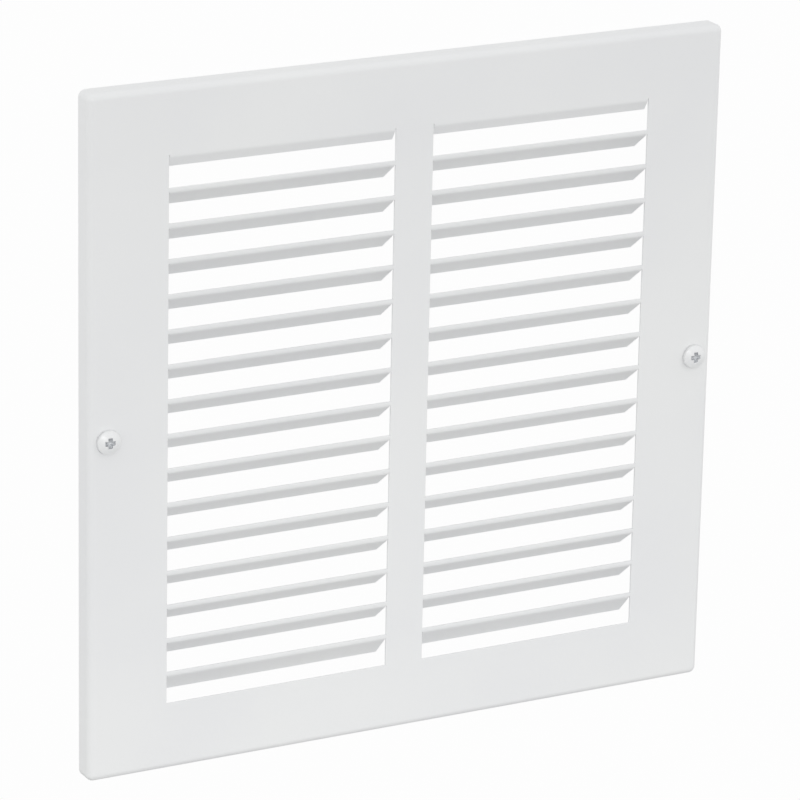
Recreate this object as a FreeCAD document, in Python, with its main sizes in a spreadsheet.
import FreeCAD, Part
import math
import os
import Sketcher

# A wall-mounted return-air grille, pressed from one sheet of steel: a square pan with a rolled
# rim, two windows side by side, and fixed blades tilted out of the sheet across each window.
# Two pan-head screws hold it to the wall.
#
# Frame, in millimetres: the wall is the plane Y = 0, X runs to the right and Z up. The origin is
# the middle of the grille on the wall. The room is towards -Y, and the duct towards +Y.

DIMENSIONS = {
    # the pan
    "face_side": 247.65,
    "rim_depth": 7.9,
    "sheet_gauge": 0.8,
    "rim_roll": 2.5,
    "corner_roll": 2.7,
    # the two windows, one on each side of the mullion
    "mullion_width": 14.7,
    "window_width": 86.4,
    "window_top": 99.7,
    "window_bottom": -99.0,
    # the lip along the top of each window
    "lip_flat": 0.8,
    "lip_flank": 4.3,
    "lip_tilt": 32.0,
    "lip_bend": 2.2,
    # the blades: a neck in the plane of the face, then a flank tilted back and down
    "blade_pitch": 12.53,
    "first_blade": 88.15,
    "neck_height": 1.7,
    "flank_width": 10.3,
    "blade_tilt": 53.0,
    "tilt_easing": 2.4,
    "blade_bend": 1.6,
    "end_gap": 0.3,
    # the screws and their holes
    "screw_reach": 116.4,
    "screw_level": 1.0,
    "hole_radius": 2.5,
    "head_radius": 4.3,
    "head_side": 1.1,
    "head_height": 2.6,
    "head_clearance": 0.2,
    "screw_length": 19.05,
    "shoulder_radius": 1.75,
    "thread_radius": 2.1,
    "thread_length": 12.7,
    "tip_length": 5.0,
    "tip_radius": 0.3,
    "recess_span": 3.8,
    "recess_width": 1.6,
    "recess_depth": 1.7,
}
BLADES_PER_COLUMN = 15
# The die lets the blades below this one stand less tilted: by one easing, then by four.
LAST_FULL_TILT = 13

# Two measures this near are the same one, and a pocket that takes less than this cut nothing.
TOLERANCE = 1e-4
SMALLEST_CUT = 1.0
FULL_TURN = 360
QUARTER_TURN = 90

doc = FreeCAD.newDocument("air_grille")
sheet = doc.addObject("Spreadsheet::Sheet", "dimensions")
for row, (alias, number) in enumerate(DIMENSIONS.items(), start=1):
    sheet.set(f"A{row}", alias)
    sheet.set(f"B{row}", str(number))
    sheet.setAlias(f"B{row}", alias)
doc.recompute()


def new_body(label):
    body = doc.addObject("PartDesign::Body", label)
    body.Label = label
    return body


def origin_feature(body, role):
    return next(f for f in body.Origin.OriginFeatures if f.Role == role)


def new_sketch(body, role, name):
    sketch = body.newObject("Sketcher::SketchObject", name)
    sketch.AttachmentSupport = [(origin_feature(body, role), "")]
    sketch.MapMode = "FlatFace"
    return sketch


def size(alias):
    return sheet.get(alias)


def value_of(expression):
    """What an expression on the sheet comes to now, as FreeCAD works it out."""
    return sheet.evalExpression(expression)


def hold(sketch, kind, places, expression):
    """Adds one dimension to a sketch and binds it to an expression on the sheet."""
    start = value_of(expression)
    if kind == "Angle":
        start = math.radians(start)
    index = sketch.addConstraint(Sketcher.Constraint(kind, *places, start))
    sketch.setExpression(f"Constraints[{index}]", expression)


def closed_outline(sketch, corners):
    """Joins the corners with lines, end to start, and returns the first line's number."""
    points = [FreeCAD.Vector(x, y, 0) for x, y in corners]
    ends = points[1:] + points[:1]
    lines = [sketch.addGeometry(Part.LineSegment(a, b), False) for a, b in zip(points, ends)]
    for line, after in zip(lines, lines[1:] + lines[:1]):
        sketch.addConstraint(Sketcher.Constraint("Coincident", line, 2, after, 1))
    return lines[0]


def rectangle(sketch, left, bottom, width, height):
    """Draws a rectangle from four expressions: its lower left corner and its two sides."""
    x, y, w, h = (value_of(e) for e in (left, bottom, width, height))
    first = closed_outline(sketch, [(x, y), (x + w, y), (x + w, y + h), (x, y + h)])
    for line, kind in enumerate(("Horizontal", "Vertical", "Horizontal", "Vertical"), start=first):
        sketch.addConstraint(Sketcher.Constraint(kind, line))
    hold(sketch, "DistanceX", (-1, 1, first, 1), left)
    hold(sketch, "DistanceY", (-1, 1, first, 1), bottom)
    hold(sketch, "DistanceX", (first, 1, first, 2), width)
    hold(sketch, "DistanceY", (first + 1, 1, first + 1, 2), height)


def bent_strip(sketch, front, top, flat, flank, tilt):
    """Draws the section of a strip of sheet that hangs straight down, then tilts back.

    The strip's top front corner is at (front, top). Its front runs down by flat, then goes on
    along the flank, tilted by that angle from upright. All five are expressions.
    """
    y, z, down, reach = (value_of(e) for e in (front, top, flat, flank))
    angle = math.radians(value_of(tilt))
    gauge = size("sheet_gauge")
    bend = (y, z - down)
    edge = (bend[0] + reach * math.sin(angle), bend[1] - reach * math.cos(angle))
    edge_back = (edge[0] + gauge * math.cos(angle), edge[1] + gauge * math.sin(angle))
    bend_back = (y + gauge, z - down + gauge * math.tan(angle / 2))
    first = closed_outline(sketch, [(y, z), bend, edge, edge_back, bend_back, (y + gauge, z)])
    front_line, flank_line, edge_line, back_line, rear_line, top_line = range(first, first + 6)
    sketch.addConstraint([
        Sketcher.Constraint("Vertical", front_line),
        Sketcher.Constraint("Vertical", rear_line),
        Sketcher.Constraint("Horizontal", top_line),
        Sketcher.Constraint("Parallel", flank_line, back_line),
        Sketcher.Constraint("Perpendicular", flank_line, edge_line),
    ])
    hold(sketch, "DistanceX", (-1, 1, front_line, 1), front)
    hold(sketch, "DistanceY", (-1, 1, front_line, 1), top)
    hold(sketch, "DistanceY", (front_line, 2, front_line, 1), flat)
    hold(sketch, "Distance", (flank_line,), flank)
    hold(sketch, "Angle", (flank_line,), f"({tilt}) - {QUARTER_TURN}")
    hold(sketch, "Distance", (edge_line,), "dimensions.sheet_gauge")
    hold(sketch, "Distance", (top_line,), "dimensions.sheet_gauge")


def pad(body, sketch, name, length):
    feature = body.newObject("PartDesign::Pad", name)
    feature.Profile = sketch
    feature.setExpression("Length", length)
    return feature


def pocket(body, sketch, name, length=None, reversed_cut=False):
    """Cuts a sketch's outline to a depth, or right through where no length is given."""
    feature = body.newObject("PartDesign::Pocket", name)
    feature.Profile = sketch
    feature.Reversed = reversed_cut
    if length is None:
        feature.Type = "ThroughAll"
    else:
        feature.setExpression("Length", length)
    return feature


def fillet(body, base, name, edges, radius):
    """Rounds the edges of base that the test picks out."""
    doc.recompute()
    names = [f"Edge{i}" for i, edge in enumerate(base.Shape.Edges, start=1) if edges(edge)]
    if not names:
        raise RuntimeError(f"{body.Label}: no edges for {name}")
    feature = body.newObject("PartDesign::Fillet", name)
    feature.Base = (base, names)
    feature.setExpression("Radius", radius)
    return feature


def runs_along(edge, axis):
    ends = edge.Vertexes
    if len(ends) < 2:
        return False
    step = (ends[1].Point - ends[0].Point).normalize()
    return abs(abs(step.dot(axis)) - 1) < TOLERANCE


X_AXIS = FreeCAD.Vector(1, 0, 0)
Y_AXIS = FreeCAD.Vector(0, 1, 0)


def bend_edge(y, z):
    """A test for the edges along X through the point (y, z) of a section."""
    def wanted(edge):
        middle = edge.CenterOfMass
        away = math.hypot(middle.y - y, middle.z - z)
        return runs_along(edge, X_AXIS) and away < TOLERANCE
    return wanted


def make_face():
    """The pan: margins, mullion, rolled rim, two windows with their lips, and the screw holes."""
    body = new_body("face_pressing")
    blank_sketch = new_sketch(body, "XZ_Plane", "blank_outline")
    half_side = "-dimensions.face_side / 2"
    side = "dimensions.face_side"
    rectangle(blank_sketch, half_side, half_side, side, side)
    blank = pad(body, blank_sketch, "blank", "dimensions.rim_depth")
    corners = fillet(body, blank, "corners", lambda e: runs_along(e, Y_AXIS),
                     "dimensions.corner_roll")

    face_y = -size("rim_depth")

    def on_face(edge):
        return all(abs(v.Point.y - face_y) < TOLERANCE for v in edge.Vertexes)

    rim = fillet(body, corners, "rolled_rim", on_face, "dimensions.rim_roll")
    doc.recompute()

    open_back = next(f"Face{i}" for i, face in enumerate(rim.Shape.Faces, start=1)
                     if abs(face.BoundBox.YMin) < TOLERANCE)
    shell = body.newObject("PartDesign::Thickness", "sheet")
    shell.Base = (rim, [open_back])
    shell.Reversed = True
    shell.setExpression("Value", "dimensions.sheet_gauge")
    doc.recompute()

    window_sketch = new_sketch(body, "XZ_Plane", "window_outline")
    rectangle(window_sketch, "dimensions.mullion_width / 2", "dimensions.window_bottom",
              "dimensions.window_width", "dimensions.window_top - dimensions.window_bottom")
    window = pocket(body, window_sketch, "window", reversed_cut=True)

    hole_sketch = new_sketch(body, "XZ_Plane", "hole_outline")
    place = FreeCAD.Vector(size("screw_reach"), size("screw_level"), 0)
    circle = Part.Circle(place, FreeCAD.Vector(0, 0, 1), size("hole_radius"))
    hole_sketch.addGeometry(circle, False)
    hold(hole_sketch, "DistanceX", (-1, 1, 0, 3), "dimensions.screw_reach")
    hold(hole_sketch, "DistanceY", (-1, 1, 0, 3), "dimensions.screw_level")
    hold(hole_sketch, "Radius", (0,), "dimensions.hole_radius")
    hole = pocket(body, hole_sketch, "screw_hole", reversed_cut=True)

    lip_sketch = new_sketch(body, "YZ_Plane", "lip_section")
    lip_sketch.setExpression("AttachmentOffset.Base.z",
                             "dimensions.mullion_width / 2 + dimensions.end_gap")
    bent_strip(lip_sketch, "-dimensions.rim_depth", "dimensions.window_top",
               "dimensions.lip_flat", "dimensions.lip_flank", "dimensions.lip_tilt")
    lip = pad(body, lip_sketch, "lip", "dimensions.window_width - 2 * dimensions.end_gap")
    doc.recompute()

    both = body.newObject("PartDesign::Mirrored", "other_side")
    both.Originals = [window, hole, lip]
    both.MirrorPlane = (origin_feature(body, "YZ_Plane"), [""])
    body.Tip = both

    front_z = size("window_top") - size("lip_flat")
    half_tilt = math.radians(size("lip_tilt")) / 2
    back_z = front_z + size("sheet_gauge") * math.tan(half_tilt)
    outer = fillet(body, both, "lip_bend_outside", bend_edge(face_y, front_z),
                   "dimensions.lip_bend")
    inner = fillet(body, outer, "lip_bend_inside", bend_edge(face_y + size("sheet_gauge"), back_z),
                   "dimensions.lip_bend - dimensions.sheet_gauge")
    body.Tip = inner
    return body


def make_blade(side, number):
    """One blade, drawn with its top front corner at its own origin, then placed in its row.

    Only the neck, the flat strip along its top, reaches the sides of the window. Below it both
    ends are cut free.
    """
    body = new_body(f"louvre_{side}_{number:02d}")
    eased = max(0, number - LAST_FULL_TILT) ** 2
    tilt = f"dimensions.blade_tilt - dimensions.tilt_easing * {eased}"
    section = new_sketch(body, "YZ_Plane", "blade_section")
    bent_strip(section, "0", "0", "dimensions.neck_height", "dimensions.flank_width", tilt)
    strip = pad(body, section, "strip", "dimensions.window_width")

    half_tilt = math.radians(value_of(tilt)) / 2
    front_z = -size("neck_height")
    back_z = front_z + size("sheet_gauge") * math.tan(half_tilt)
    outer = fillet(body, strip, "bend_outside", bend_edge(0, front_z), "dimensions.blade_bend")
    fillet(body, outer, "bend_inside", bend_edge(size("sheet_gauge"), back_z),
           "dimensions.blade_bend - dimensions.sheet_gauge")

    ends = new_sketch(body, "XZ_Plane", "free_ends")
    low = "-dimensions.neck_height - dimensions.flank_width"
    rectangle(ends, "0", low, "dimensions.end_gap", "dimensions.flank_width")
    rectangle(ends, "dimensions.window_width - dimensions.end_gap", low,
              "dimensions.end_gap", "dimensions.flank_width")
    body.Tip = pocket(body, ends, "cut_ends")

    left_edge = {
        "left": "-dimensions.mullion_width / 2 - dimensions.window_width",
        "right": "dimensions.mullion_width / 2",
    }
    body.setExpression("Placement.Base.x", left_edge[side])
    body.setExpression("Placement.Base.y", "-dimensions.rim_depth")
    body.setExpression("Placement.Base.z",
                       f"dimensions.first_blade - {number - 1} * dimensions.blade_pitch")
    return body


def make_screw(side):
    """A pan-head screw on its own Y axis, with the underside of its head at its origin.

    The screw's length runs from there to its point, and the last part of it is threaded, point
    and all. The thread's crest is drawn as a plain cylinder, and the rest is a plain shoulder.
    """
    body = new_body(f"screw_{side}")
    profile = new_sketch(body, "XY_Plane", "half_profile")
    shoulder_length = "dimensions.screw_length - dimensions.thread_length"
    crest_length = "dimensions.thread_length - dimensions.tip_length"
    head, crown, rim = size("head_radius"), -size("head_height"), -size("head_side")
    shoulder, thread, tip = size("shoulder_radius"), size("thread_radius"), size("tip_radius")
    start, point = value_of(shoulder_length), size("screw_length")
    end = point - size("tip_length")
    corners = [(0, crown), (0, point), (tip, point), (thread, end), (thread, start),
               (shoulder, start), (shoulder, 0), (head, 0), (head, rim)]
    points = [FreeCAD.Vector(x, y, 0) for x, y in corners]
    lines = [profile.addGeometry(Part.LineSegment(a, b), False)
             for a, b in zip(points, points[1:])]
    rise = rim - crown
    dome_radius = (head ** 2 + rise ** 2) / (2 * rise)
    dome = Part.Circle(FreeCAD.Vector(0, crown + dome_radius, 0), FreeCAD.Vector(0, 0, 1),
                       dome_radius)
    half_angle = math.asin(head / dome_radius)
    arc = profile.addGeometry(
        Part.ArcOfCircle(dome, -math.pi / 2, -math.pi / 2 + half_angle), False)
    for line, after in zip(lines, lines[1:]):
        profile.addConstraint(Sketcher.Constraint("Coincident", line, 2, after, 1))
    axis, end_flat, cone, thread_side, step, shoulder_side, underside, head_side = lines
    profile.addConstraint([
        Sketcher.Constraint("Coincident", arc, 1, axis, 1),
        Sketcher.Constraint("Coincident", arc, 2, head_side, 2),
        Sketcher.Constraint("PointOnObject", arc, 3, -2),
        Sketcher.Constraint("PointOnObject", axis, 1, -2),
        Sketcher.Constraint("Vertical", axis),
        Sketcher.Constraint("Horizontal", end_flat),
        Sketcher.Constraint("Vertical", thread_side),
        Sketcher.Constraint("Horizontal", step),
        Sketcher.Constraint("Vertical", shoulder_side),
        Sketcher.Constraint("PointOnObject", underside, 1, -1),
        Sketcher.Constraint("Horizontal", underside),
        Sketcher.Constraint("Vertical", head_side),
    ])
    hold(profile, "DistanceY", (axis, 1, -1, 1), "dimensions.head_height")
    hold(profile, "DistanceY", (head_side, 2, head_side, 1), "dimensions.head_side")
    hold(profile, "DistanceX", (-1, 1, head_side, 1), "dimensions.head_radius")
    hold(profile, "DistanceX", (-1, 1, underside, 1), "dimensions.shoulder_radius")
    hold(profile, "DistanceY", (-1, 1, step, 1), shoulder_length)
    hold(profile, "DistanceX", (-1, 1, step, 1), "dimensions.thread_radius")
    hold(profile, "DistanceY", (thread_side, 2, thread_side, 1), crest_length)
    hold(profile, "DistanceY", (cone, 2, cone, 1), "dimensions.tip_length")
    hold(profile, "DistanceX", (-1, 1, end_flat, 2), "dimensions.tip_radius")
    turned = body.newObject("PartDesign::Revolution", "turned")
    turned.Profile = profile
    turned.ReferenceAxis = (profile, ["V_Axis"])
    turned.Angle = FULL_TURN
    doc.recompute()

    slot_sketch = new_sketch(body, "XZ_Plane", "recess_outline")
    slot_sketch.setExpression("AttachmentOffset.Base.z", "dimensions.head_height")
    rectangle(slot_sketch, "-dimensions.recess_span / 2", "-dimensions.recess_width / 2",
              "dimensions.recess_span", "dimensions.recess_width")
    slot = pocket(body, slot_sketch, "recess_arm", "dimensions.recess_depth")
    doc.recompute()
    cross = body.newObject("PartDesign::PolarPattern", "cross_recess")
    cross.Originals = [slot]
    cross.Axis = (origin_feature(body, "Y_Axis"), [""])
    cross.Angle = QUARTER_TURN
    cross.Occurrences = 2
    body.Tip = cross

    reach = {"left": "-dimensions.screw_reach", "right": "dimensions.screw_reach"}
    body.setExpression("Placement.Base.x", reach[side])
    body.setExpression("Placement.Base.y", "-dimensions.rim_depth - dimensions.head_clearance")
    body.setExpression("Placement.Base.z", "dimensions.screw_level")
    return body


def check(bodies):
    """Stops before anything is written if an object failed or a solid is not sound."""
    for thing in doc.Objects:
        if "Invalid" in thing.State or "Error" in thing.State:
            raise RuntimeError(f"{thing.Label} did not recompute: {thing.State}")
        if thing.TypeId == "PartDesign::Pocket":
            removed = thing.BaseFeature.Shape.Volume - thing.Shape.Volume
            if removed < SMALLEST_CUT:
                raise RuntimeError(f"{thing.Label} cut nothing")
    for body in bodies:
        shape = body.Shape
        if shape.isNull() or not shape.isValid() or len(shape.Solids) != 1:
            raise RuntimeError(f"{body.Label} is not one sound solid")


face = make_face()
blades = [make_blade(side, number) for side in ("left", "right")
          for number in range(1, BLADES_PER_COLUMN + 1)]
screws = [make_screw(side) for side in ("left", "right")]
doc.recompute()

bodies = [face, *blades, *screws]
check(bodies)

os.makedirs("parts", exist_ok=True)
for body in bodies:
    body.Shape.exportStep(f"parts/{body.Label}.step")
    print(f"{body.Label}: {body.Shape.Volume:.0f} mm3")
